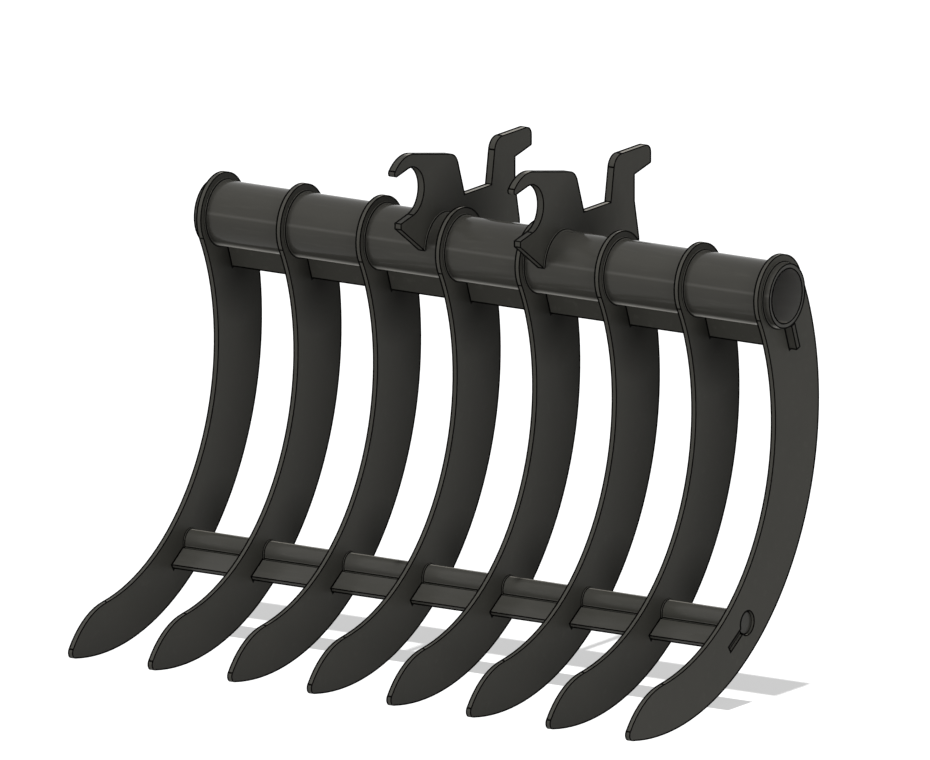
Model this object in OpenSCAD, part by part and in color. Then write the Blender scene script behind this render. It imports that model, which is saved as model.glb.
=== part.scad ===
// Root rake for an excavator. Eight flat-cut tines hang on one tube, tied by flat and round bars,
// under two quick-hitch ears. Origin: axis of the hook seats, midway between the ears.
// X runs along the tube, +Y to the back of the rake, +Z up. Millimetres.

/* [Torque tube] */
// Outside diameter of the tube
tube_d = 139.7; // [127:0.1:159]
// Wall of the tube
tube_wall = 12; // [6:0.5:16]
// How far the tube and the upper flat bar stand out past the end tines
end_out = 17.5; // [8:0.5:40]
// Tube axis behind the hook seat axis
tube_back = 126; // [115:1:150]
// Tube axis below the hook seat axis
tube_below = 139.5; // [130:0.5:160]

/* [Tines] */
// Distance from one tine to the next
tine_pitch = 200; // [170:5:250]
// Thickness of the tine plate
tine_t = 12.5; // [10:0.5:20]
// Width of the rim that each tine leaves round the tube
head_rim = 17.5; // [12:0.5:26]
// Radius of the hollow front edge
front_r = 486; // [470:1:510]
// Width of the blade where the front edge turns over into the point
neck_w = 109; // [95:1:120]
// Slope of the line that holds both arc centres and the tube axis
arc_lean = 28.3; // [26:0.1:31]
// Where the front edge turns over into the point, past straight down from its centre
turn_angle = 6.4; // [4:0.1:9]
// Radius of the crowned edge above the point
point_r = 187; // [170:1:205]
// Radius of the blunt end
nose_r = 14; // [8:0.5:18]

/* [Cross bars] */
// Width of the upper flat bar
upper_w = 60; // [30:1:75]
// Thickness of the upper flat bar
upper_t = 15; // [8:1:20]
// Direction of the upper flat bar, from straight down towards the back
upper_angle = 20; // [10:1:30]
// Diameter of the lower round bar
bar_d = 50; // [35:1:60]
// Bar axis inside the hollow front edge
bar_in = 74.5; // [65:0.5:82]
// Bar's place round the front edge, below level
bar_angle = 47.6; // [40:0.1:56]
// Width of the lower flat bar
lower_w = 55; // [25:1:62]
// Thickness of the lower flat bar
lower_t = 12; // [8:1:16]
// Direction of the lower flat bar, from straight down towards the points
lower_angle = 57; // [48:1:62]
// Room round the lower bars in their keyholes
keyhole_gap = 0.4; // [0.2:0.1:0.8]

/* [Hitch ears] */
// Distance between the middles of the two ears
ear_spacing = 300; // [240:5:340]
// Thickness of the ear plate
ear_t = 17.5; // [12:0.5:25]
// Radius of the hook seat
seat_r = 52.5; // [45:0.5:56]
// Steel round the seat
hook_wall = 29.5; // [22:0.5:34]
// Downward tilt of the hook's mouth, and of the locking edge under the nose
mouth_tilt = 11.8; // [8:0.1:15]
// Radius of the upper jaw's rounded end
beak_r = 8; // [5:0.5:10]
// Reach of the lower jaw in front of the seat axis
lip_reach = 37; // [25:0.5:45]
// Height of the lower jaw's blunt end
lip_t = 13.5; // [8:0.5:16]
// Backward fall of the top edge behind the hook
ramp_tilt = 11.1; // [8:0.1:14]
// End of that falling edge behind the seat axis
ramp_end = 178; // [165:1:190]
// Front corner of the saddle behind the seat axis
saddle_front = 211; // [200:1:225]
// Length of the saddle
saddle_w = 103; // [80:1:120]
// Floor of the saddle below the seat axis
saddle_below = 45.5; // [38:0.5:55]
// Backward lean of the rear upright's front edge
upright_lean = 9.5; // [4:0.5:14]
// Width of the rear upright at the saddle
upright_w = 92.5; // [80:0.5:110]
// Top of the rear upright above the seat axis
upright_top = 52.5; // [45:0.5:65]
// Reach of the nose behind the upright
nose_reach = 63.5; // [50:0.5:80]
// Height of the nose's blunt end
nose_h = 42.5; // [36:0.5:50]
// Spread of the ear's back edge down to its heel
heel_spread = 23; // [10:1:35]
// Heel below the tube axis
heel_below = 29; // [15:1:40]
// Where the ear's lower edge leaves the tube, from straight down towards the back
ear_back_angle = 50; // [40:1:60]

/* [Welds] */
// Leg of the fillet welds on the tube
weld_leg = 4; // [3:0.5:7]
// Leg of the fillet welds on the lower bars
bar_weld_leg = 3; // [2:0.5:6]
// Radial room between the tube or a bar and what is set over it
fit = 0.2; // [0.1:0.05:0.4]

/* [Hidden] */
$fn = 96;

steel = "#45453f";
bead = "#3a3a35";
tine_count = 8;

tube_r = tube_d / 2;
head_r = tube_r + head_rim;
bar_r = bar_d / 2;
tine_span = (tine_count - 1) * tine_pitch;
tube_l = tine_span + tine_t + 2 * end_out;

// Places in the side view, [back, up] from the tube axis
lean = [cos(arc_lean), sin(arc_lean)];
front_c = -(front_r + head_r) * lean;
neck_back = front_c + (front_r + neck_w) * down(turn_angle);
back_r = round_by(neck_back, head_r, lean);
back_c = -(back_r - head_r) * lean;
point_c = front_c + (front_r + point_r) * down(turn_angle);
nose_c = meet(back_c, back_r - nose_r, point_c, point_r - nose_r);
bar_c = front_c + (front_r + bar_in) * [cos(bar_angle), -sin(bar_angle)];

// Places in the side view, [back, up] from the hook seat axis
hook_r = seat_r + hook_wall;
beak_c = tilted(-sqrt(pow(hook_r - beak_r, 2) - pow(seat_r + beak_r, 2)), seat_r + beak_r);
jaw_touch = tilted(0, seat_r);
saddle_back = saddle_front + saddle_w;
upright_back = saddle_back + upright_w;
ear_front_angle = 270;
saddle_step = 15;
ramp_r = 38;
upright_r = 30;
nose_top_r = 20;
nose_low_r = 4;
heel_r = 25;
weld_stop = 3;
nose_tip = upright_back + nose_reach;
nose_under = upright_top - nose_h;

// Unit vector in the side view, measured from straight down towards the back
function down(a) = [sin(a), -cos(a)];
function unit(v) = v / norm(v);
function heading(v) = atan2(v.y, v.x);
// Radius of the circle that passes through p and lies round a disc of radius r at the origin,
// touching it on its side n
function round_by(p, r, n) = (p - r * n) * (p - r * n) / (2 * (r - p * n));
// Front one of the two points where two circles in the side view meet
function meet(a, ra, b, rb) =
    let (d = norm(b - a), u = (b - a) / d, s = (ra * ra - rb * rb + d * d) / (2 * d))
    a + s * u + sqrt(ra * ra - s * s) * [u.y, -u.x];
// Place in the side view from its distances along the hook's mouth and square to it
function tilted(u, v) =
    u * [cos(mouth_tilt), sin(mouth_tilt)] + v * [-sin(mouth_tilt), cos(mouth_tilt)];
// Outline with sharp corners [y, z], and corners [y, z, r] rounded to their own radius
function rounded(p) =
    let (n = len(p))
    [for (i = [0 : n - 1]) each corner(p[(i + n - 1) % n], p[i], p[(i + 1) % n])];
function corner(a, p, b) =
    let (o = [p.x, p.y], ua = unit([a.x, a.y] - o), ub = unit([b.x, b.y] - o))
    len(p) < 3 ? [o] : bend(o, ua, ub, p.z, acos(ua * ub) / 2);
function bend(o, ua, ub, r, half) =
    let (c = o + unit(ua + ub) * r / sin(half), reach = r / tan(half),
         from = heading(o + ua * reach - c), to = heading(o + ub * reach - c))
    arc(c, r, from, from + (to - from + 540) % 360 - 180);
// Points along an arc, at most 6 degrees and 25 mm apart
function arc(c, r, from, to) =
    let (turn = abs(to - from), steps = ceil(max(turn / 6, r * turn * PI / 180 / 25)))
    [for (k = [0 : steps]) let (a = from + (to - from) * k / steps) c + r * [cos(a), sin(a)]];
// The same without its last point, where another arc goes on
function arc_to_next(c, r, from, to) = let (p = arc(c, r, from, to)) [for (i = [0 : len(p) - 2]) p[i]];

// Turns a side view outline into a plate of thickness t with its middle at x
module plate(x, t) {
    translate([x - t / 2, 0, 0]) rotate([90, 0, 90]) linear_extrude(t) children();
}

// Moves what is drawn round the tube axis to its place under the hook seats
module at_tube() {
    translate([0, tube_back, -tube_below]) children();
}

// Section of a flat bar set on edge against a round one
module flat_section(r, w, t, angle, room = 0) {
    rotate(angle - 90) translate([r, -t / 2 - room]) square([w + room, t + 2 * room]);
}

// Ring fillet round an X axis, from one angle to another, measured from straight down towards the back
module ring_bead(x, side, r, leg, from, to) {
    translate([x, 0, 0]) rotate([0, 90, 0]) rotate([0, 0, from])
        rotate_extrude(angle = to - from) polygon([[r, 0], [r + leg, 0], [r, side * leg]]);
}

// Section of the fillet between a round bar and one side of a flat bar set against it
module seam_section(r, t, angle, side, leg) {
    far = t / 2 + leg;
    difference() {
        rotate(angle - 90) polygon([
            [r - leg, side * t / 2], [r + fit + leg, side * t / 2], [sqrt(r * r - far * far), side * far]
        ]);
        circle(r = r);
    }
}

// Straight fillets on both sides of a flat bar, one pair in each gap between tines
module bay_seams(r, t, angle, leg) {
    bay = tine_pitch - tine_t - 2 * (leg + fit);
    for (i = [1 : tine_count - 1], side = [-1, 1])
        plate(tine_x(i) + tine_pitch / 2, bay) seam_section(r, t, angle, side, leg);
}

function tine_x(i) = (i - 1) * tine_pitch - tine_span / 2;

// Outline of a tine from the side, arc by arc: over the head, down the back edge, round the blunt end,
// up the crowned edge and back along the hollow front edge. Each arc runs smoothly into the next.
module tine_outline() {
    low_touch = heading(nose_c - back_c);
    top_touch = heading(nose_c - point_c);
    polygon([
        each arc_to_next([0, 0], head_r, 180 + arc_lean, arc_lean),
        each arc_to_next(back_c, back_r, arc_lean, low_touch),
        each arc_to_next(nose_c, nose_r, low_touch, top_touch - 360),
        each arc_to_next(point_c, point_r, top_touch, 90 + turn_angle),
        each arc_to_next(front_c, front_r, turn_angle - 90, arc_lean)
    ]);
}

module tine(i) {
    color(steel) at_tube() plate(tine_x(i), tine_t) difference() {
        tine_outline();
        circle(r = tube_r + fit);
        flat_section(tube_r - upper_t / 2, upper_w + upper_t / 2 + fit, upper_t, upper_angle, fit);
        translate(bar_c) circle(r = bar_r + keyhole_gap);
        translate(bar_c) flat_section(bar_r - lower_t / 2, lower_w + lower_t / 2 + fit, lower_t,
                                      -lower_angle, keyhole_gap);
    }
}

module torque_tube() {
    color(steel) at_tube() plate(0, tube_l) difference() {
        circle(r = tube_r);
        circle(r = tube_r - tube_wall);
    }
}

module upper_flat_bar() {
    color(steel) at_tube() plate(0, tube_l) flat_section(tube_r + fit, upper_w, upper_t, upper_angle);
}

module lower_round_bar() {
    color(steel) at_tube() plate(0, tine_span) translate(bar_c) circle(r = bar_r);
}

module lower_flat_bar() {
    color(steel) at_tube() plate(0, tine_span) translate(bar_c)
        flat_section(bar_r + fit, lower_w, lower_t, -lower_angle);
}

// Outline of a hitch ear from the side, round the hook seat axis
module ear_outline() {
    lip_top = -(seat_r + lip_reach * sin(mouth_tilt)) / cos(mouth_tilt);
    ramp_low = (hook_r - ramp_end * sin(ramp_tilt)) / cos(ramp_tilt);
    upright_corner = saddle_back + (upright_top + saddle_below) * tan(upright_lean);
    notch = nose_under - nose_reach * tan(mouth_tilt);
    heel = -tube_below - heel_below;
    tube_c = [tube_back, -tube_below];
    difference() {
        polygon(rounded([
            [0, 0], jaw_touch, each arc_to_next(beak_c, beak_r, 270 + mouth_tilt, heading(beak_c)),
            each arc([0, 0], hook_r, heading(beak_c), 90 - ramp_tilt),
            [ramp_end, ramp_low, ramp_r], [saddle_front, -saddle_below], [saddle_back, -saddle_below],
            [upright_corner, upright_top, upright_r], [nose_tip, upright_top, nose_top_r],
            [nose_tip, nose_under, nose_low_r], [upright_back, notch],
            [upright_back, -saddle_below - saddle_step], [upright_back + heel_spread, heel, heel_r],
            tube_c + tube_r * down(ear_back_angle), tube_c, tube_c + tube_r * down(ear_front_angle),
            [-lip_reach, lip_top - lip_t], [-lip_reach, lip_top], -jaw_touch
        ]));
        circle(r = seat_r);
        translate(tube_c) circle(r = tube_r + fit);
    }
}

module hitch_ear(side) {
    color(steel) plate(side * ear_spacing / 2, ear_t) ear_outline();
}

// Ring fillets on both faces of a tine, open where the upper flat bar crosses
module tine_weld(i) {
    clear = asin((upper_t / 2 + fit) / tube_r);
    color(bead) at_tube() for (side = [-1, 1])
        ring_bead(tine_x(i) + side * tine_t / 2, side, tube_r + fit, weld_leg,
                  upper_angle + clear, upper_angle + 360 - clear);
}

// Fillets along both faces of an ear where it sits on the tube
module ear_weld(side) {
    color(bead) at_tube() for (face = [-1, 1])
        ring_bead(side * ear_spacing / 2 + face * ear_t / 2, face, tube_r + fit, weld_leg,
                  ear_back_angle + weld_stop, ear_front_angle - weld_stop);
}

module upper_flat_weld() {
    color(bead) at_tube() bay_seams(tube_r + fit, upper_t, upper_angle, weld_leg);
}

// Ring fillets of the lower round bar on the tines, left out on the outside of the end tines
module lower_ring_weld() {
    clear = asin((lower_t / 2 + fit) / bar_r);
    color(bead) at_tube() translate([0, bar_c.x, bar_c.y])
        for (i = [1 : tine_count - 1], side = [-1, 1])
            ring_bead(tine_x(side > 0 ? i : i + 1) + side * tine_t / 2, side, bar_r + fit, bar_weld_leg,
                      -lower_angle + clear, -lower_angle + 360 - clear);
}

module lower_flat_weld() {
    color(bead) at_tube() translate([0, bar_c.x, bar_c.y])
        bay_seams(bar_r + fit, lower_t, -lower_angle, bar_weld_leg);
}

torque_tube();
upper_flat_bar();
lower_round_bar();
lower_flat_bar();
tine(1);  // tine_1
tine(2);  // tine_2
tine(3);  // tine_3
tine(4);  // tine_4
tine(5);  // tine_5
tine(6);  // tine_6
tine(7);  // tine_7
tine(8);  // tine_8
hitch_ear(-1);  // hitch_ear_left
hitch_ear(1);  // hitch_ear_right
tine_weld(1);  // tine_weld_1
tine_weld(2);  // tine_weld_2
tine_weld(3);  // tine_weld_3
tine_weld(4);  // tine_weld_4
tine_weld(5);  // tine_weld_5
tine_weld(6);  // tine_weld_6
tine_weld(7);  // tine_weld_7
tine_weld(8);  // tine_weld_8
ear_weld(-1);  // ear_weld_left
ear_weld(1);  // ear_weld_right
upper_flat_weld();
lower_ring_weld();
lower_flat_weld();
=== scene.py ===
import bpy
import bmesh
import math
from mathutils import Euler, Matrix, Vector


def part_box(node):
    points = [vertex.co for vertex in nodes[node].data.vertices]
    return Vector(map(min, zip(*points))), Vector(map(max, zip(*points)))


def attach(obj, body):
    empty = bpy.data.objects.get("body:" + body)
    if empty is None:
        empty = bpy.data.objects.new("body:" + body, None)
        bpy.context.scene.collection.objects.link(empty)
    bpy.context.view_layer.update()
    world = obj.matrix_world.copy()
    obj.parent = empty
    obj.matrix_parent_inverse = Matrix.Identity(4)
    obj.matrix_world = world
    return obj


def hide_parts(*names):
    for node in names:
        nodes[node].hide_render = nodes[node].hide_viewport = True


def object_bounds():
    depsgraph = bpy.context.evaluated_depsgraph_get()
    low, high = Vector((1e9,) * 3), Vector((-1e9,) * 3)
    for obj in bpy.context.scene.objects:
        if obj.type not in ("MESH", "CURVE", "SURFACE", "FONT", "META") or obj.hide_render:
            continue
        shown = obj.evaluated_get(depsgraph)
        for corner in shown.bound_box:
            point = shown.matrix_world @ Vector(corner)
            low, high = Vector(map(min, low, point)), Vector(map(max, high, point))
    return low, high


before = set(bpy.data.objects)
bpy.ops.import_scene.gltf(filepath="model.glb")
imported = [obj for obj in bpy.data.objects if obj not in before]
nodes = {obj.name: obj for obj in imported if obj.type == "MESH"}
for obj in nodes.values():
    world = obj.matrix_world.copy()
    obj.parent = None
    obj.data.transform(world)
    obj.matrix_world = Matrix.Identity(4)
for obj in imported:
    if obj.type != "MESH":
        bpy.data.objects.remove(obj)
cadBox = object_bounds()
print("frame loaded,", len(nodes), "nodes")

tineNames = [f"tine_{i}" for i in range(1, 9)]

# What is measured from the frame, in metres
tubeLow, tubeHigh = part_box("torque_tube")
tubeAxis = Vector((0, (tubeLow[1] + tubeHigh[1]) / 2, (tubeLow[2] + tubeHigh[2]) / 2))
tubeRadius = (tubeHigh[2] - tubeLow[2]) / 2
barLow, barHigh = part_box("lower_round_bar")
barAxis = Vector((0, (barLow[1] + barHigh[1]) / 2, (barLow[2] + barHigh[2]) / 2))
barRadius = (barHigh[2] - barLow[2]) / 2
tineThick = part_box("tine_1")[1][0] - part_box("tine_1")[0][0]
tubeLeg = (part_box("tine_weld_1")[1][0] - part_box("tine_weld_1")[0][0] - tineThick) / 2
floorHeight = cadBox[0][2]
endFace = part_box("tine_8")[1][0]

# The photograph's parallel view
viewLook = {"azimuth": 32.94, "elevation": 13.22, "span": 1.9616, "standOff": 8.0,
            "aimAt": (0.1749, -0.2777, -0.3117)}


def viewAngles(turn=0):
    # the camera's angles, or with a turn of 180 those of the view from straight behind it
    return Euler((math.radians(90 - viewLook["elevation"]), 0, math.radians(viewLook["azimuth"] + turn)))


# Small helpers for the node trees

def newMaterial(name):
    material = bpy.data.materials.new(name)
    material.use_nodes = True
    tree = material.node_tree
    tree.nodes.clear()
    return material, tree


def addNode(tree, kind, **settings):
    node = tree.nodes.new(kind)
    for key, value in settings.items():
        if key in node.inputs:
            node.inputs[key].default_value = value
        else:
            setattr(node, key, value)
    return node


def objectNoise(tree, scale, detail, stretch=(1, 1, 1)):
    place = addNode(tree, "ShaderNodeTexCoord")
    mapping = addNode(tree, "ShaderNodeMapping")
    mapping.inputs["Scale"].default_value = stretch
    noise = addNode(tree, "ShaderNodeTexNoise", Scale=scale, Detail=detail)
    tree.links.new(place.outputs["Object"], mapping.inputs["Vector"])
    tree.links.new(mapping.outputs["Vector"], noise.inputs["Vector"])
    return noise.outputs["Fac"]


def remap(tree, value, low, high, newLow, newHigh):
    node = addNode(tree, "ShaderNodeMapRange")
    node.inputs["From Min"].default_value = low
    node.inputs["From Max"].default_value = high
    node.inputs["To Min"].default_value = newLow
    node.inputs["To Max"].default_value = newHigh
    tree.links.new(value, node.inputs["Value"])
    return node.outputs["Result"]


def blendColours(tree, factor, first, second):
    node = addNode(tree, "ShaderNodeMix", data_type="RGBA")
    tree.links.new(factor, node.inputs["Factor"])
    for socket, colour in ((node.inputs["A"], first), (node.inputs["B"], second)):
        if isinstance(colour, tuple):
            socket.default_value = (*colour, 1)
        else:
            tree.links.new(colour, socket)
    return node.outputs["Result"]


# What all the steel finishes have in common: how detailed each noise is, which span of it is stretched
# to the full range, and the leans, tilts and depths where a share turns from none to all
steelWork = {
    "cloudDetail": 5, "speckDetail": 3, "skinDetail": 2,
    "cloudSpan": (0.35, 0.65), "speckSpan": (0.58, 0.72), "wornSpan": (0.3, 0.7), "rubSpan": (0.4, 0.6),
    "leastWorn": 0.6, "leastTopSheen": 0.8, "leastRub": 0.3, "roughSwing": 0.05, "bumpDepth": 0.0004,
    "rubSamples": 6, "rubLean": (1.0, 0.75), "rimLean": (0.8, 0.9), "topTilt": (0.98, 1.0),
    "outerSkin": 0.001, "reflectionLineFade": 0.005,
}


def edgeRub(tree, radius):
    # how far the rounded normal leans away from the real one, so 1 on an edge and 0 on the flat
    rounded = addNode(tree, "ShaderNodeBevel", samples=steelWork["rubSamples"], Radius=radius)
    real = addNode(tree, "ShaderNodeNewGeometry")
    dot = addNode(tree, "ShaderNodeVectorMath", operation="DOT_PRODUCT")
    tree.links.new(rounded.outputs["Normal"], dot.inputs[0])
    tree.links.new(real.outputs["Normal"], dot.inputs[1])
    return remap(tree, dot.outputs["Value"], *steelWork["rubLean"], 0, 1)


def multiply(tree, first, second):
    node = addNode(tree, "ShaderNodeMath", operation="MULTIPLY")
    tree.links.new(first, node.inputs[0])
    tree.links.new(second, node.inputs[1])
    return node.outputs["Value"]


def highest(tree, *values):
    top = values[0]
    for value in values[1:]:
        node = addNode(tree, "ShaderNodeMath", operation="MAXIMUM")
        tree.links.new(top, node.inputs[0])
        tree.links.new(value, node.inputs[1])
        top = node.outputs["Value"]
    return top


def axisDistance(tree, axis):
    # how far the surface is from a line along X, given by its place in the side view
    place = addNode(tree, "ShaderNodeTexCoord")
    flat = addNode(tree, "ShaderNodeVectorMath", operation="MULTIPLY_ADD")
    flat.inputs[1].default_value = (0, 1, 1)
    flat.inputs[2].default_value = (0, -axis[0], -axis[1])
    length = addNode(tree, "ShaderNodeVectorMath", operation="LENGTH")
    tree.links.new(place.outputs["Object"], flat.inputs[0])
    tree.links.new(flat.outputs["Vector"], length.inputs[0])
    return length.outputs["Value"]


def alongX(tree, kind, output):
    # the size of the X part of a position or a normal
    source = addNode(tree, kind)
    parts = addNode(tree, "ShaderNodeSeparateXYZ")
    size = addNode(tree, "ShaderNodeMath", operation="ABSOLUTE")
    tree.links.new(source.outputs[output], parts.inputs["Vector"])
    tree.links.new(parts.outputs["X"], size.inputs[0])
    return size.outputs["Value"]


def rimShare(tree):
    # 1 on surfaces that run along X, such as a plate's rim, and 0 on faces square to it
    return remap(tree, alongX(tree, "ShaderNodeNewGeometry", "True Normal"), *steelWork["rimLean"], 1, 0)


def unshadedShare(tree, spots):
    # less than 1 where shade is painted in, darkest in the corners between the plates and the tube or bar;
    # the plates' rims and the outer faces of the end tines get no painted shade
    share = None
    for spot in spots:
        distance = axisDistance(tree, spot["axis"])
        near = remap(tree, distance, spot["from"], spot["to"], spot["low"], spot["high"])
        share = near if share is None else multiply(tree, share, near)
    fromMiddle = alongX(tree, "ShaderNodeTexCoord", "Object")
    skin = steelWork["outerSkin"]
    outer = remap(tree, fromMiddle, endFace - 2 * skin, endFace - skin, 0, 1)
    return highest(tree, share, outer, rimShare(tree))


def paintedReflectionLine(tree, look):
    # painted reflection: a soft pale line along the tube's front side
    place = addNode(tree, "ShaderNodeTexCoord")
    parts = addNode(tree, "ShaderNodeSeparateXYZ")
    tree.links.new(place.outputs["Object"], parts.inputs["Vector"])
    height = tubeAxis.z + look["reflectionLineAbove"]
    below = remap(tree, parts.outputs["Z"], height - look["reflectionLineWidth"], height, 0, 1)
    above = remap(tree, parts.outputs["Z"], height, height + look["reflectionLineWidth"], 1, 0)
    front = remap(tree, parts.outputs["Y"], tubeAxis.y - steelWork["reflectionLineFade"], tubeAxis.y, 1, 0)
    return multiply(tree, multiply(tree, below, above), front)


def topShare(tree):
    # 1 on surfaces that lie flat and face up, less as they tilt
    source = addNode(tree, "ShaderNodeNewGeometry")
    parts = addNode(tree, "ShaderNodeSeparateXYZ")
    tree.links.new(source.outputs["Normal"], parts.inputs["Vector"])
    tilt = remap(tree, parts.outputs["Z"], *steelWork["topTilt"], 0, 1)
    return multiply(tree, tilt, tilt)


def paintedSteel(name, look):
    material, tree = newMaterial(name)
    links = tree.links
    cloud = objectNoise(tree, look["cloudScale"], steelWork["cloudDetail"], look["stretch"])
    speck = objectNoise(tree, look["speckScale"], steelWork["speckDetail"], look["stretch"])
    skin = objectNoise(tree, look["skinScale"], steelWork["skinDetail"])
    clouded = remap(tree, cloud, *steelWork["cloudSpan"], 0, 1)
    base = blendColours(tree, clouded, look["shade"], look["colour"])
    specked = remap(tree, speck, *steelWork["speckSpan"], 0, look["speckMost"])
    base = blendColours(tree, specked, base, look["speck"])
    # painted highlight: the rims, the faces along X, are made paler in patches
    if "rim" in look:
        patchy = remap(tree, cloud, *steelWork["wornSpan"], steelWork["leastWorn"], 1)
        base = blendColours(tree, multiply(tree, rimShare(tree), patchy), base, look["rim"])
    # painted sheen: a pale tone in patches on surfaces that face up
    if look.get("topSheen"):
        patchy = remap(tree, cloud, *steelWork["wornSpan"], steelWork["leastTopSheen"], 1)
        base = blendColours(tree, multiply(tree, topShare(tree), patchy), base, look["topSheen"])
    # painted reflection: the pale line along the tube's front
    if "reflectionLineWidth" in look:
        base = blendColours(tree, paintedReflectionLine(tree, look), base, look["reflectionLineColour"])
    # painted highlight: a pale strip along the tube's underside
    if "lowerHighlightAxis" in look:
        distance = axisDistance(tree, look["lowerHighlightAxis"])
        lowerHighlight = remap(tree, distance, look["lowerHighlightInner"], look["lowerHighlightOuter"], 1, 0)
        lowerHighlight = multiply(tree, multiply(tree, lowerHighlight, lowerHighlight), rimShare(tree))
        base = blendColours(tree, lowerHighlight, base, look["lowerHighlightColour"])
    shader = addNode(tree, "ShaderNodeBsdfPrincipled")
    shader.inputs["Specular IOR Level"].default_value = look["gloss"]
    # painted shade: darker and less glossy, mixed towards near-black, round the lines listed in the look
    if "paintedShade" in look:
        unshaded = unshadedShare(tree, look["paintedShade"])
        base = blendColours(tree, unshaded, look["paintedShadeColour"], base)
        links.new(remap(tree, unshaded, 0, 1, 0, look["gloss"]), shader.inputs["Specular IOR Level"])
    patchy = remap(tree, cloud, *steelWork["rubSpan"], steelWork["leastRub"], look["rubMost"])
    base = blendColours(tree, multiply(tree, edgeRub(tree, look["rubWidth"]), patchy), base, look["rubbed"])
    bump = addNode(tree, "ShaderNodeBump", Strength=look["bump"], Distance=steelWork["bumpDepth"])
    links.new(skin, bump.inputs["Height"])
    smoother, rougher = look["rough"] - steelWork["roughSwing"], look["rough"] + steelWork["roughSwing"]
    rough = remap(tree, cloud, *steelWork["wornSpan"], smoother, rougher)
    links.new(base, shader.inputs["Base Color"])
    links.new(rough, shader.inputs["Roughness"])
    links.new(bump.outputs["Normal"], shader.inputs["Normal"])
    output = addNode(tree, "ShaderNodeOutputMaterial")
    links.new(shader.outputs["BSDF"], output.inputs["Surface"])
    return material


# the plates' paint; its pale tone on surfaces that face up is a painted sheen
plateLook = {
    "colour": (0.0535, 0.052, 0.0455), "shade": (0.0465, 0.0455, 0.0395),
    "speck": (0.067, 0.065, 0.057), "speckMost": 0.25,
    "rubbed": (0.078, 0.075, 0.066), "rubWidth": 0.005, "rubMost": 0.4, "topSheen": (0.27, 0.255, 0.225),
    "cloudScale": 7, "speckScale": 55, "skinScale": 420, "stretch": (1, 1, 1),
    "bump": 0.25, "rough": 0.5, "gloss": 0.052,
}
# painted shade lies round lines along X: axis is a line's place in the side view, low the unshaded share up
# to the first distance from it, and high the unshaded share from the second on
paintedShadeBlack = (0.004, 0.004, 0.0036)
hollowCentre = (-0.3788, -0.4113)  # of the tines' hollow front edges
# tines: paler rims as a painted highlight, and painted shade near the tube, the bars and the back edge
tineLook = dict(plateLook, rim=(0.060, 0.0582, 0.0508), paintedShadeColour=paintedShadeBlack, paintedShade=[
    {"axis": hollowCentre, "from": 0.50, "to": 0.65, "low": 1.0, "high": 0.445},  # more towards the back
    {"axis": (0.196, -0.262), "from": 0.02, "to": 0.13, "low": 0.28, "high": 1.0},  # at the upper flat bar
    {"axis": (0.31, -0.38), "from": 0, "to": 0.13, "low": 0.62, "high": 1.0},  # on the back edge below it
    {"axis": (0.10, -0.80), "from": 0, "to": 0.10, "low": 0.55, "high": 1.0},  # behind the lower bars
])
# ears: painted shade behind the tube
earLook = dict(plateLook, paintedShadeColour=paintedShadeBlack, paintedShade=[
    {"axis": (0.208, -0.101), "from": 0.03, "to": 0.17, "low": 0.38, "high": 0.91},  # behind the tube
])
# painted shade: a darker copy of the plate paint for the flat bar under the tube
flatLook = dict(plateLook, colour=(0.040, 0.039, 0.034), shade=(0.036, 0.035, 0.0305), gloss=0.045)
# the tube's paint has a painted reflection line along its front and a painted highlight along this line
underTube = tubeAxis + tubeRadius * Vector((0, -0.27, -0.963))  # on its underside, a little to the front
tubeLook = dict(plateLook, colour=(0.051, 0.0495, 0.0437), shade=(0.045, 0.0436, 0.0385), topSheen=None,
                stretch=(0.12, 1, 1), cloudScale=16, speckScale=110, rough=0.12, gloss=0.08,
                reflectionLineColour=(0.074, 0.072, 0.065), reflectionLineAbove=0.013, reflectionLineWidth=0.005,
                lowerHighlightAxis=(underTube.y, underTube.z), lowerHighlightInner=0.012, lowerHighlightOuter=0.034,
                lowerHighlightColour=(0.80, 0.78, 0.73))
# painted light: the bore's inside is made paler, which lifts the shade inside it
boreLook = dict(plateLook, colour=(0.16, 0.157, 0.148), shade=(0.13, 0.127, 0.12),
                speck=(0.18, 0.176, 0.166), rubbed=(0.2, 0.195, 0.185), stretch=(0.15, 1, 1), rough=0.4)
# bars: an even painted shade on their faces square to X, such as their ends
barLook = dict(plateLook, colour=(0.056, 0.0545, 0.049), stretch=(0.2, 1, 1), cloudScale=20,
               speckScale=120, rough=0.22, gloss=0.10, paintedShadeColour=paintedShadeBlack, paintedShade=[
    {"axis": (barAxis.y, barAxis.z), "from": 0, "to": 0.1, "low": 0.74, "high": 0.74},  # evenly all over
])
scaleLook = {
    "colour": (0.0016, 0.0016, 0.0014), "shade": (0.0008, 0.0008, 0.0007),
    "speck": (0.005, 0.005, 0.0045), "speckMost": 0.3,
    "rubbed": (0.004, 0.004, 0.0035), "rubWidth": 0.001, "rubMost": 0.3,
    "cloudScale": 30, "speckScale": 260, "skinScale": 900, "stretch": (1, 1, 1),
    "bump": 0.4, "rough": 0.8, "gloss": 0.02,
}
beadLook = dict(scaleLook, colour=(0.003, 0.003, 0.0027), shade=(0.0015, 0.0015, 0.0013),
                rough=0.6, gloss=0.03)

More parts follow.
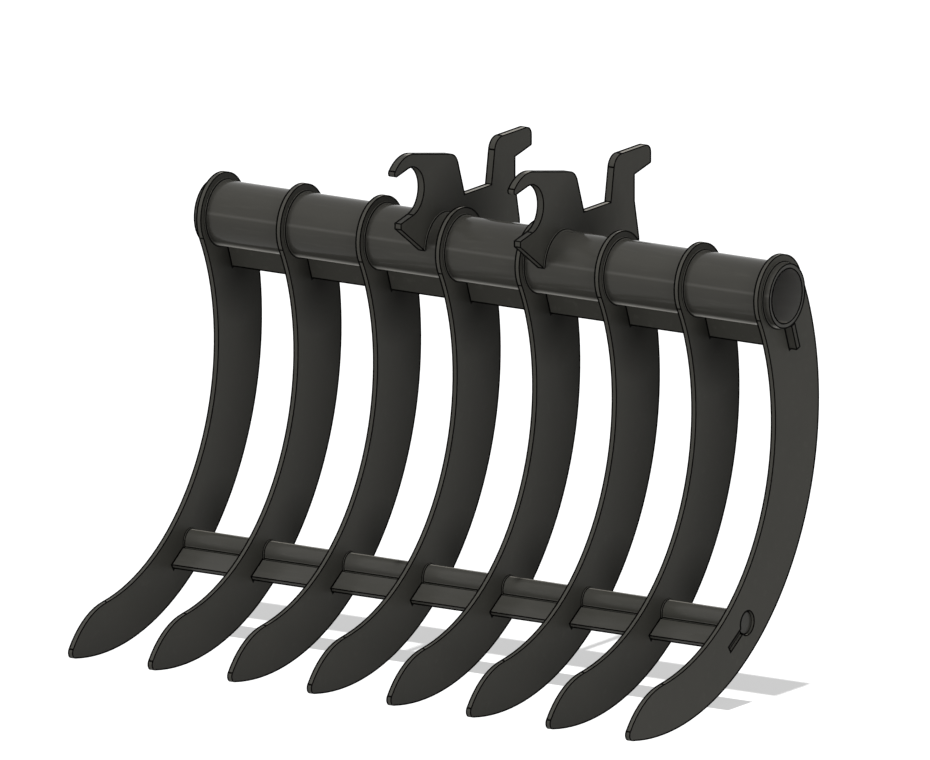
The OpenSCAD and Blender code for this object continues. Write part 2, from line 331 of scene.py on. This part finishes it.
platePaint = paintedSteel("plateOlivePaintWithPaintedLight", plateLook)
tinePaint = paintedSteel("tineOlivePaintWithPaintedLight", tineLook)
earPaint = paintedSteel("earOlivePaintWithPaintedLight", earLook)
flatPaint = paintedSteel("flatOlivePaintWithPaintedShade", flatLook)
tubePaint = paintedSteel("tubeOlivePaintWithPaintedLight", tubeLook)
borePaint = paintedSteel("boreSteelWithPaintedLight", boreLook)
barPaint = paintedSteel("barOlivePaintWithPaintedShade", barLook)
edgeScale = paintedSteel("darkCutEdge", scaleLook)
beadScale = paintedSteel("darkWeldBead", beadLook)
beadPaints = [platePaint, beadScale]  # painted toes, dark crown
print("materials made")


# Steel pieces: a merged copy of each node, with a dark band and a small round on every sharp edge

edgeWork = {"sharpFrom": math.radians(22), "flatWithin": math.radians(0.4), "mergeWithin": 0.00002,
            "inkWidth": 0.0028, "outlineShare": 1.15, "leastBand": 0.0009, "mostBand": 0.0085,
            "hiddenBand": 0.0015, "recessBand": 0.0024, "firstBand": 0.0004,
            "round": 0.0005, "roundSteps": 2, "straightFrom": 0.97, "foldedFrom": -0.9}
# an edge or a normal is along X above the first share of X in it, and across X below the second
xShare = {"along": 0.9, "across": 0.5}
markWork = {"joinFrom": math.radians(0.1), "joinRatio": 1.04, "leastMark": 0.0018, "mostMark": 0.0048,
            "mostOfFacet": 0.6, "searchRatio": 1.1, "cutWithin": 0.00001}
# how far a face has to lean towards a view to be seen in it, and the least that a line's run and
# the width beside it count for there
seenWork = {"leastLean": 0.02, "leastRun": 0.2, "leastWidth": 0.05}
# right, up and towards the viewer, for the main view and for the one from straight behind it
views = [viewAngles(turn).to_matrix() for turn in (0, 180)]


def onRim(face):
    # a face that runs along X, such as a plate's rim or a bore's wall
    return abs(face.normal.x) < xShare["across"]


def seenIn(view, normal):
    return normal.dot(view.col[2]) > seenWork["leastLean"]


def smoothGroups(bm):
    # lists of faces that run into each other with no sharp edge between them
    groups = []
    seen = set()
    for start in bm.faces:
        if start in seen:
            continue
        seen.add(start)
        group = [start]
        for face in group:
            for edge in face.edges:
                if edge.calc_face_angle(0) > edgeWork["sharpFrom"]:
                    continue
                for other in edge.link_faces:
                    if other not in seen:
                        seen.add(other)
                        group.append(other)
        groups.append(group)
    return groups


def seenWidth(view, along, across):
    # how wide a step across a line looks, next to the same step seen square on
    run, step = [Vector((way.dot(view.col[0]), way.dot(view.col[1]))) for way in (along, across)]
    return max(abs(run.cross(step)) / max(run.length, seenWork["leastRun"]), seenWork["leastWidth"])


def arcJoins(bm):
    # edges across the plate's thickness where one arc or straight of its outline runs into the next
    joins = []
    for edge in bm.edges:
        start, end = edge.verts
        thickness = abs(end.co.x - start.co.x) > xShare["along"] * edge.calc_length()
        if not thickness or len(edge.link_faces) != 2:
            continue
        if not markWork["joinFrom"] < edge.calc_face_angle(0) < edgeWork["sharpFrom"]:
            continue
        wide = [face.calc_area() / edge.calc_length() for face in edge.link_faces]
        if max(wide) > markWork["joinRatio"] * min(wide):
            joins.append(edge)
    return joins


def markReach(join, along, face):
    # how far a join's mark runs on one side of it: further where the rim is seen at a glance, and
    # with its end in the middle of a facet where the facets are small
    wide = face.calc_area() / join.calc_length()
    seen = [seenWidth(view, Vector((1, 0, 0)), along) for view in views if seenIn(view, face.normal)]
    wanted = edgeWork["inkWidth"] / 2 / seen[0] if seen else 0
    wanted = min(max(wanted, markWork["leastMark"]), markWork["mostMark"])
    whole = round(wanted / wide - 0.5)
    return (whole + 0.5) * wide if whole > 0 else min(wanted, markWork["mostOfFacet"] * wide)


def markJoins(bm):
    # a narrow dark strip across the rim at each of those edges, cut by two planes
    places = []
    for join in arcJoins(bm):
        first, second = [face.calc_center_median() for face in join.link_faces]
        middle = (join.verts[0].co + join.verts[1].co) / 2
        along = Vector((0, second.y - first.y, second.z - first.z)).normalized()
        places.append((middle, along, [markReach(join, along, face) for face in join.link_faces]))
    for middle, along, (before, after) in places:
        around = markWork["searchRatio"] * max(before, after)
        for cut in (-before, after):
            close = [vert for vert in bm.verts if (vert.co - middle).yz.length < around]
            rim = {face for vert in close for face in vert.link_faces if onRim(face)}
            geom = list(rim) + list({edge for face in rim for edge in face.edges})
            geom += list({vert for face in rim for vert in face.verts})
            bmesh.ops.bisect_plane(bm, geom=geom, dist=markWork["cutWithin"],
                                   plane_co=middle + along * cut, plane_no=along)
        for vert in bm.verts:
            if (vert.co - middle).yz.length < around:
                for face in vert.link_faces:
                    reach = (face.calc_center_median() - middle).dot(along)
                    if -before < reach < after and onRim(face):
                        face.material_index = 1


def finishPiece(bm, name, paints, slot, *standsFor):
    mesh = bpy.data.meshes.new(name)
    bm.to_mesh(mesh)
    bm.free()
    for paint in paints:
        mesh.materials.append(paint)
    piece = bpy.data.objects.new(name, mesh)
    bpy.context.scene.collection.objects.link(piece)
    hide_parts(*standsFor)
    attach(piece, "root")
    return piece


def bandWidth(along, normal, other, most):
    # wide enough to show as a line of one width in the view that sees this face, and shared with
    # the face across the edge by how much of each is seen
    for view in views:
        if not seenIn(view, normal):
            continue
        seen = [seenWidth(view, along, side.cross(along)) for side in (normal, other)]
        share = seen[0] / sum(seen) if seenIn(view, other) else edgeWork["outlineShare"]
        return min(max(share * edgeWork["inkWidth"] / seen[0], edgeWork["leastBand"]), most)
    return edgeWork["hiddenBand"]


def innerCorner(sides):
    # where the inner edges of the bands that meet at a corner cross, seen from the corner
    (first, firstWidth), (last, lastWidth) = sides[0], sides[-1]
    lean = first.dot(last)
    if lean > edgeWork["straightFrom"]:
        return (first + last).normalized() * (firstWidth + lastWidth) / 2
    if lean < edgeWork["foldedFrom"]:
        return first * firstWidth
    crossing = first * (firstWidth - lean * lastWidth) + last * (lastWidth - lean * firstWidth)
    return crossing / (1 - lean * lean)


def insetBand(bm, group, endBand):
    # a thin even band round a smooth group, then each of its inner corners moved to its real width
    inside = set(group)
    strip = bmesh.ops.inset_region(bm, faces=group, thickness=edgeWork["firstBand"],
                                   use_boundary=True, use_even_offset=True)
    bands = set(strip["faces"])
    corners = {}
    for face in strip["faces"]:
        face.material_index = 1
        for edge in face.edges:
            others = [other for other in edge.link_faces if other not in bands and other not in inside]
            if not others:
                continue
            ends = edge.verts[:]
            inner = {end: next(cross.other_vert(end) for cross in end.link_edges
                               if cross in face.edges[:] and cross is not edge) for end in ends}
            along = (ends[1].co - ends[0].co).normalized()
            inward = (inner[ends[0]].co + inner[ends[1]].co - ends[0].co - ends[1].co) / 2
            inward = (inward - along * inward.dot(along)).normalized()
            most = endBand if abs(face.normal.x) > xShare["along"] else edgeWork["mostBand"]
            width = bandWidth(along, face.normal, others[0].normal, most)
            for end in ends:
                corners.setdefault((inner[end], end), []).append((inward, width))
    for (vert, end), sides in corners.items():
        vert.co = end.co + innerCorner(sides)


def dressSteel(node, name, paint, slot, joinsShow=False, inside=None, endBand=edgeWork["mostBand"]):
    bm = bmesh.new()
    bm.from_mesh(nodes[node].data)
    bmesh.ops.remove_doubles(bm, verts=bm.verts[:], dist=edgeWork["mergeWithin"])
    bmesh.ops.dissolve_limit(bm, angle_limit=edgeWork["flatWithin"], verts=bm.verts[:], edges=bm.edges[:])
    for face in bm.faces:
        face.material_index = 0
    if joinsShow:
        markJoins(bm)
    for group in smoothGroups(bm):
        insetBand(bm, group, endBand)
    if inside:
        for face in bm.faces:
            out = face.calc_center_median() - tubeAxis
            if face.material_index == 0 and onRim(face) and face.normal.yz.dot(out.yz) < 0:
                face.material_index = 2
    sharp = [edge for edge in bm.edges if edge.calc_face_angle(0) > edgeWork["sharpFrom"]]
    bmesh.ops.bevel(bm, geom=sharp, offset=edgeWork["round"], offset_type="OFFSET", affect="EDGES",
                    segments=edgeWork["roundSteps"], profile=0.5, material=-1, clamp_overlap=True)
    for face in bm.faces:
        face.smooth = True
    for edge in bm.edges:
        edge.smooth = edge.calc_face_angle(0) < edgeWork["sharpFrom"]
    paints = [paint, edgeScale, inside] if inside else [paint, edgeScale]
    return finishPiece(bm, name, paints, slot, node)


for number, node in enumerate(tineNames, 1):
    dressSteel(node, f"tinePlate{number}", tinePaint, "plate_steel", joinsShow=True)
print("tines dressed")
casters = []
for side in ("left", "right"):
    casters.append(dressSteel(f"hitch_ear_{side}", f"hitchEar{side.capitalize()}", earPaint, "plate_steel",
                              joinsShow=True))
casters.append(dressSteel("torque_tube", "torqueTube", tubePaint, "tube_steel", inside=borePaint))
casters.append(dressSteel("upper_flat_bar", "upperFlatBar", flatPaint, "bar_steel"))
for part in ("round", "flat"):
    casters.append(dressSteel(f"lower_{part}_bar", f"lower{part.capitalize()}Bar", barPaint, "bar_steel",
                              endBand=edgeWork["recessBand"]))
print("ears, tube and bars dressed")


# Weld beads: a crowned fillet run along its seam, rippled as it was laid

beadWork = {"crown": 0.12, "crownAt": (0.25, 0.5, 0.75), "corners": 6, "sink": 0.0002,
            "ripple": 0.0030, "rippleHeight": 1.0, "smoothWithin": math.radians(40)}
# angles run from straight down towards the back, in degrees
tubeSeams = {"leg": tubeLeg, "flatAngle": 20, "flatThick": 0.015, "earFrom": 53, "earTo": 267}
barSeams = {"leg": 0.003, "flatAngle": -57, "flatThick": 0.012}


def beadSection(corner, firstToe, lastToe):
    # the root in the corner, a toe on each surface and a crowned face between the toes
    corner, firstToe, lastToe = Vector(corner), Vector(firstToe), Vector(lastToe)
    out = ((firstToe + lastToe) / 2 - corner).normalized()
    bulge = (lastToe - firstToe).length * beadWork["crown"]
    crown = [firstToe.lerp(lastToe, t) + out * bulge * math.sin(math.pi * t) for t in beadWork["crownAt"]]
    return [corner, firstToe, *crown, lastToe], out * bulge * beadWork["rippleHeight"]


def runBead(bm, section, place, turn, slide, steps):
    # the section swept round or along, with every second one of its crowns to be raised as a ripple
    crowned = bm.verts.layers.int.get("crowned") or bm.verts.layers.int.new("crowned")
    start = len(bm.verts)
    ring = [bm.verts.new(place(point)) for point in section]
    for vert in ring[2:-1]:
        vert[crowned] = 1
    edges = [bm.edges.new((ring[i - 1], ring[i])) for i in range(len(ring))]
    bmesh.ops.spin(bm, geom=ring + edges, cent=(0, 0, 0), axis=(1, 0, 0), dvec=slide,
                   angle=turn, steps=steps)
    bm.verts.ensure_lookup_table()
    laid = bm.verts[start:]
    return laid, [vert for k, vert in enumerate(laid) if vert[crowned] and (k // len(section)) % 2]


def layRing(bm, x, side, axis, radius, leg, fromAngle, toAngle):
    # round a tube or bar where it goes through a plate, from straight down towards the back
    sink = beadWork["sink"]
    section, lift = beadSection((-sink, -sink), (leg, -sink), (-sink, leg))
    toStart = Matrix.Rotation(math.radians(fromAngle), 3, "X")
    turn = math.radians(toAngle - fromAngle)
    steps = 2 * round(turn * (radius + leg) / beadWork["ripple"])
    laid, raised = runBead(bm, section, lambda p: toStart @ Vector((x + side * p.y, 0, -radius - p.x)),
                           turn, (0, 0, 0), steps)
    for vert in raised:
        away = Vector((0, vert.co.y, vert.co.z)).normalized()
        vert.co += away * lift.x + Vector((side * lift.y, 0, 0))
    bmesh.ops.translate(bm, verts=laid, vec=axis)


def laySeam(bm, x, length, face, axis, radius, seams):
    # straight along one face of a flat bar set on edge against a tube or bar
    sink = beadWork["sink"]
    half = seams["flatThick"] / 2
    far = half + seams["leg"]
    section, lift = beadSection((half - sink, math.sqrt(radius ** 2 - half ** 2) - sink),
                                (far, math.sqrt(radius ** 2 - far ** 2) - sink),
                                (half - sink, radius + seams["leg"]))
    turned = Matrix.Rotation(math.radians(seams["flatAngle"]), 3, "X")
    steps = 2 * round(length / beadWork["ripple"])
    laid, raised = runBead(bm, section, lambda p: turned @ Vector((x, face * p.x, -p.y)),
                           0, (length / steps, 0, 0), steps)
    for vert in raised:
        vert.co += turned @ Vector((0, face * lift.x, -lift.y))
    bmesh.ops.translate(bm, verts=laid, vec=axis)


def closeBeads(bm):
    # caps on the beads' ends, and the dark paint on their crowns
    bmesh.ops.holes_fill(bm, edges=bm.edges[:], sides=beadWork["corners"])
    bmesh.ops.recalc_face_normals(bm, faces=bm.faces[:])
    crowned = bm.verts.layers.int["crowned"]
    for face in bm.faces:
        face.smooth = True
        face.material_index = int(all(vert[crowned] for vert in face.verts))
    bm.verts.layers.int.remove(crowned)
    for edge in bm.edges:
        edge.smooth = edge.calc_face_angle(0) < beadWork["smoothWithin"]


def moved(bm, x):
    # a copy of the laid beads, moved along X
    copy = bm.copy()
    bmesh.ops.translate(copy, verts=copy.verts[:], vec=(x, 0, 0))
    return copy


def repeatAlong(bm, shifts):
    # the beads of the first bay between two tines, laid again in the others
    laid = bm.verts[:] + bm.edges[:] + bm.faces[:]
    for x in shifts:
        again = bmesh.ops.duplicate(bm, geom=laid)["geom"]
        verts = [item for item in again if isinstance(item, bmesh.types.BMVert)]
        bmesh.ops.translate(bm, verts=verts, vec=(x, 0, 0))


def openAt(seams, radius):
    # half of the angle that the flat bar takes up of its tube or bar, where a ring stays open
    return math.degrees(math.asin(seams["flatThick"] / 2 / radius))


tineStarts = [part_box(node)[0][0] for node in tineNames]
bm = bmesh.new()
gap = openAt(tubeSeams, tubeRadius)
for x, side in ((tineStarts[0], -1), (tineStarts[0] + tineThick, 1)):
    layRing(bm, x, side, tubeAxis, tubeRadius, tubeSeams["leg"],
            tubeSeams["flatAngle"] + gap, tubeSeams["flatAngle"] + 360 - gap)
closeBeads(bm)
for number, start in enumerate(tineStarts, 1):
    ring = moved(bm, start - tineStarts[0])
    finishPiece(ring, f"tineWeld{number}", beadPaints, "weld_bead", f"tine_weld_{number}")
bm.free()

earLow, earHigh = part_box("hitch_ear_left")
bm = bmesh.new()
for x, face in ((earLow[0], -1), (earHigh[0], 1)):
    layRing(bm, x, face, tubeAxis, tubeRadius, tubeSeams["leg"], tubeSeams["earFrom"], tubeSeams["earTo"])
closeBeads(bm)
for side in ("left", "right"):
    ring = moved(bm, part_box(f"hitch_ear_{side}")[0][0] - earLow[0])
    finishPiece(ring, f"earWeld{side.capitalize()}", beadPaints, "weld_bead", f"ear_weld_{side}")
bm.free()

bayStart, bayEnd = tineStarts[0] + tineThick, tineStarts[1]
bayShifts = [start - tineStarts[0] for start in tineStarts[1:-1]]
bm = bmesh.new()
gap = openAt(barSeams, barRadius)
for x, side in ((bayStart, 1), (bayEnd, -1)):
    layRing(bm, x, side, barAxis, barRadius, barSeams["leg"],
            barSeams["flatAngle"] + gap, barSeams["flatAngle"] + 360 - gap)
closeBeads(bm)
repeatAlong(bm, bayShifts)
finishPiece(bm, "lowerRingWeld", beadPaints, "weld_bead", "lower_ring_weld")

for name, node, axis, radius, seams in (
        ("upperFlatWeld", "upper_flat_weld", tubeAxis, tubeRadius, tubeSeams),
        ("lowerFlatWeld", "lower_flat_weld", barAxis, barRadius, barSeams)):
    bm = bmesh.new()
    length = bayEnd - bayStart - 2 * seams["leg"]
    for face in (-1, 1):
        laySeam(bm, bayStart + seams["leg"], length, face, axis, radius, seams)
    closeBeads(bm)
    repeatAlong(bm, bayShifts)
    finishPiece(bm, name, beadPaints, "weld_bead", node)
print("weld beads laid")


# Stage: white floor and world, daylight from above and two soft lamps, in front and at the right

stageLook = {"floorSize": 30, "floorShade": 0.10, "floorGlow": 0.573, "floorBounce": 0.48, "ambient": 0.5,
             "floorLevel": 6.0, "topLevel": 0.5, "topFrom": (0.017, -0.052, 1.0), "topWidth": 1.0,
             "frontLevel": 0.455, "frontFrom": (-0.45, -0.87, 0.27), "frontWidth": 25,
             "rightLevel": 0.28, "rightFrom": (0.93, -0.35, 0.12), "rightWidth": 40}


def seesBackground(tree):
    # 1 for what the camera sees straight, in a reflection or through glass
    path = addNode(tree, "ShaderNodeLightPath")
    return highest(tree, *[path.outputs[f"Is {kind} Ray"] for kind in ("Camera", "Glossy", "Transmission")])


def makeFloor():
    bm = bmesh.new()
    bmesh.ops.create_grid(bm, x_segments=1, y_segments=1, size=stageLook["floorSize"] / 2)
    bmesh.ops.translate(bm, verts=bm.verts[:], vec=(0, 0, floorHeight))
    mesh = bpy.data.meshes.new("floor")
    bm.to_mesh(mesh)
    bm.free()
    floor = bpy.data.objects.new("floor", mesh)
    bpy.context.scene.collection.objects.link(floor)
    material, tree = newMaterial("whiteFloor")
    shade = stageLook["floorShade"]
    seen = addNode(tree, "ShaderNodeBsdfDiffuse", Color=(shade, shade, shade, 1))
    glow = addNode(tree, "ShaderNodeEmission", Strength=stageLook["floorGlow"])
    both = addNode(tree, "ShaderNodeAddShader")
    plain = addNode(tree, "ShaderNodeEmission", Strength=stageLook["floorBounce"])
    choose = addNode(tree, "ShaderNodeMixShader")
    output = addNode(tree, "ShaderNodeOutputMaterial")
    tree.links.new(seen.outputs["BSDF"], both.inputs[0])
    tree.links.new(glow.outputs["Emission"], both.inputs[1])
    tree.links.new(seesBackground(tree), choose.inputs["Fac"])
    tree.links.new(plain.outputs["Emission"], choose.inputs[1])
    tree.links.new(both.outputs["Shader"], choose.inputs[2])
    tree.links.new(choose.outputs["Shader"], output.inputs["Surface"])
    mesh.materials.append(material)
    return floor


def makeWorld():
    world = bpy.data.worlds.new("whiteWorld")
    bpy.context.scene.world = world
    world.use_nodes = True
    tree = world.node_tree
    tree.nodes.clear()
    background = addNode(tree, "ShaderNodeBackground", Color=(1, 1, 1, 1))
    tree.links.new(remap(tree, seesBackground(tree), 0, 1, stageLook["ambient"], 1),
                   background.inputs["Strength"])
    output = addNode(tree, "ShaderNodeOutputWorld")
    tree.links.new(background.outputs["Background"], output.inputs["Surface"])


def addSun(name, level, side):
    sun = bpy.data.lights.new(name, "SUN")
    sun.energy = math.pi * level
    sun.angle = math.radians(stageLook[side + "Width"])
    holder = bpy.data.objects.new(name, sun)
    direction = Vector(stageLook[side + "From"]).normalized()
    holder.location = Vector(viewLook["aimAt"]) + direction * viewLook["standOff"]
    holder.rotation_euler = direction.to_track_quat("Z", "Y").to_euler()
    holder.visible_glossy = False
    bpy.context.scene.collection.objects.link(holder)
    return holder


def linked(name, members, state):
    group = bpy.data.collections.new(name)
    for number, member in enumerate(members):
        group.objects.link(member)
        group.collection_objects[number].light_linking.link_state = state
    return group


floor = makeFloor()
makeWorld()
# the floor has its own daylight, in which the tube, ears and bars throw shadows and the thin tines don't
floorSun = addSun("floorDaylight", stageLook["floorLevel"], "top")
floorSun.light_linking.receiver_collection = linked("floorOnly", [floor], "INCLUDE")
floorSun.light_linking.blocker_collection = linked("shadowCasters", casters, "INCLUDE")
# the two soft side lamps fill without shadows, except on the tube, so that its inside stays dark
tube = bpy.data.objects["torqueTube"]
for lit, receivers in (("Plates", linked("notFloorOrTube", [floor, tube], "EXCLUDE")),
                       ("Tube", linked("tubeOnly", [tube], "INCLUDE"))):
    for side in ("top", "front", "right"):
        lamp = addSun(f"{side}Lamp{lit}", stageLook[side + "Level"], side)
        lamp.data.use_shadow = lit == "Tube" or side == "top"
        lamp.light_linking.receiver_collection = receivers

camera = bpy.data.objects.new("camera", bpy.data.cameras.new("camera"))
camera.data.type = "ORTHO"
camera.data.ortho_scale = viewLook["span"]
camera.rotation_euler = viewAngles()
camera.location = Vector(viewLook["aimAt"]) + views[0] @ Vector((0, 0, viewLook["standOff"]))
bpy.context.scene.collection.objects.link(camera)
bpy.context.scene.camera = camera
bpy.context.scene.view_settings.view_transform = "Standard"
print("stage set")
